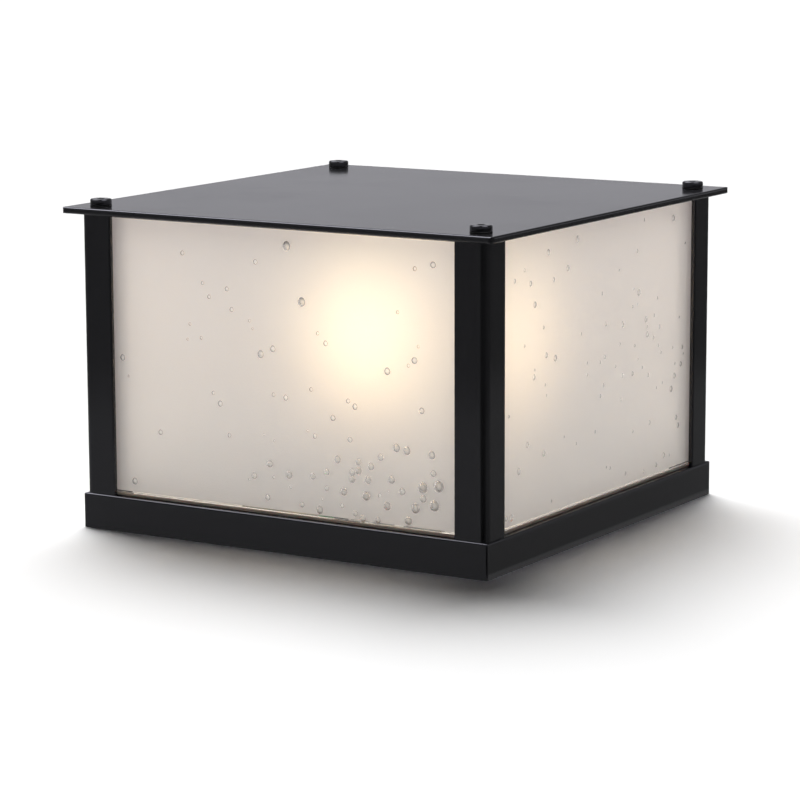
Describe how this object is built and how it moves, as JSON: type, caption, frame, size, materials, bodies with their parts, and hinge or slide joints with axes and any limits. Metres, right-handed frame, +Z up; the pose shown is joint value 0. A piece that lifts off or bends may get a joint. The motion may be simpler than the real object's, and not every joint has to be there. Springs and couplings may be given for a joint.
{
  "type": "deck post cap light",
  "caption": "Square lantern with frosted seeded-glass panes between corner posts under a flat roof plate, on a shallow base that caps a deck post.",
  "frame": {"origin": "centre of the square outlined by the base's bottom edge, on the plane of that edge", "axes": "+Z up through the roof, -Y towards the front pane, +X to the right seen from the front"},
  "size_m": [0.168, 0.168, 0.1131],
  "materials": {
    "black_paint": "gloss black powder coat",
    "seeded_glass": "frosted white glass with small bubbles",
    "clear_silicone": "dull translucent silicone",
    "foam_rubber": "black elastomer",
    "zinc_steel": "bright zinc plate",
    "brass": "plain brass",
    "porcelain": "white glaze",
    "black_glaze": "black vitreous insulator",
    "lamp_glass": "frosted envelope, lit warm white",
    "ivory_nylon": "moulded nylon",
    "brown_wire": "brown insulation",
    "blue_wire": "blue insulation",
    "green_wire": "green insulation",
    "green_paint": "green-dyed zinc plate"
  },
  "bodies": {
    "root": {"base_tray": "black_paint", "post_gasket": "foam_rubber", "post_base_screws": "zinc_steel", "post_front_left": "black_paint", "post_front_right": "black_paint", "post_back_right": "black_paint", "post_back_left": "black_paint", "glass_front": "seeded_glass", "glass_right": "seeded_glass", "glass_back": "seeded_glass", "glass_left": "seeded_glass", "glass_cushions": "clear_silicone", "lamp_bracket": "zinc_steel", "bracket_screws": "zinc_steel", "holder_nipple": "brass", "nipple_nut": "brass", "holder_body": "porcelain", "screw_shell": "brass", "centre_contact": "brass", "wire_grommet": "foam_rubber", "terminal_block": "ivory_nylon", "terminal_screws": "brass", "block_screws": "zinc_steel", "live_lead": "brown_wire", "neutral_lead": "blue_wire", "earth_lead": "green_wire", "earth_tag": "zinc_steel", "earth_screw": "green_paint"},
    "roof": {"roof_plate": "black_paint", "roof_seals": "foam_rubber"},
    "lamp_seal": {"neck_seal": "foam_rubber"},
    "lamp": {"lamp_envelope": "lamp_glass", "lamp_cap": "zinc_steel", "lamp_insulator": "black_glaze", "lamp_tip": "zinc_steel", "lamp_module": "porcelain"},
    "washer_front_left": {"washer_front_left": "foam_rubber"},
    "screw_front_left": {"screw_front_left": "black_paint"},
    "washer_front_right": {"washer_front_right": "foam_rubber"},
    "screw_front_right": {"screw_front_right": "black_paint"},
    "washer_back_right": {"washer_back_right": "foam_rubber"},
    "screw_back_right": {"screw_back_right": "black_paint"},
    "washer_back_left": {"washer_back_left": "foam_rubber"},
    "screw_back_left": {"screw_back_left": "black_paint"}
  },
  "joints": [
    {"name": "roof_lift", "type": "slide", "parent": "root", "child": "roof", "axis": [0, 0, 1], "range_m": [0, 0.13]},
    {"name": "screw_rise_front_left", "type": "slide", "parent": "roof", "child": "washer_front_left", "axis": [0, 0, 1], "range_m": [0, 0.0077]},
    {"name": "screw_turn_front_left", "type": "hinge", "parent": "washer_front_left", "child": "screw_front_left", "pos_m": [-0.0744, -0.0744, 0.1107], "axis": [0, 0, 1], "range_deg": [0, 3961]},
    {"name": "screw_rise_front_right", "type": "slide", "parent": "roof", "child": "washer_front_right", "axis": [0, 0, 1], "range_m": [0, 0.0077]},
    {"name": "screw_turn_front_right", "type": "hinge", "parent": "washer_front_right", "child": "screw_front_right", "pos_m": [0.0744, -0.0744, 0.1107], "axis": [0, 0, 1], "range_deg": [0, 3961]},
    {"name": "screw_rise_back_right", "type": "slide", "parent": "roof", "child": "washer_back_right", "axis": [0, 0, 1], "range_m": [0, 0.0077]},
    {"name": "screw_turn_back_right", "type": "hinge", "parent": "washer_back_right", "child": "screw_back_right", "pos_m": [0.0744, 0.0744, 0.1107], "axis": [0, 0, 1], "range_deg": [0, 3961]},
    {"name": "screw_rise_back_left", "type": "slide", "parent": "roof", "child": "washer_back_left", "axis": [0, 0, 1], "range_m": [0, 0.0077]},
    {"name": "screw_turn_back_left", "type": "hinge", "parent": "washer_back_left", "child": "screw_back_left", "pos_m": [-0.0744, 0.0744, 0.1107], "axis": [0, 0, 1], "range_deg": [0, 3961]},
    {"name": "lamp_rise", "type": "slide", "parent": "root", "child": "lamp_seal", "axis": [0, 0, 1], "range_m": [0, 0.01016]},
    {"name": "lamp_turn", "type": "hinge", "parent": "lamp_seal", "child": "lamp", "pos_m": [0, 0, 0.0442], "axis": [0, 0, 1], "range_deg": [0, 1441]}
  ],
  "couplings": [
    {"joint": "screw_turn_front_left", "follows": "screw_rise_front_left", "rad_per_m": 8976},
    {"joint": "screw_turn_front_right", "follows": "screw_rise_front_right", "rad_per_m": 8976},
    {"joint": "screw_turn_back_right", "follows": "screw_rise_back_right", "rad_per_m": 8976},
    {"joint": "screw_turn_back_left", "follows": "screw_rise_back_left", "rad_per_m": 8976},
    {"joint": "lamp_turn", "follows": "lamp_rise", "rad_per_m": 2473.7}
  ]
}
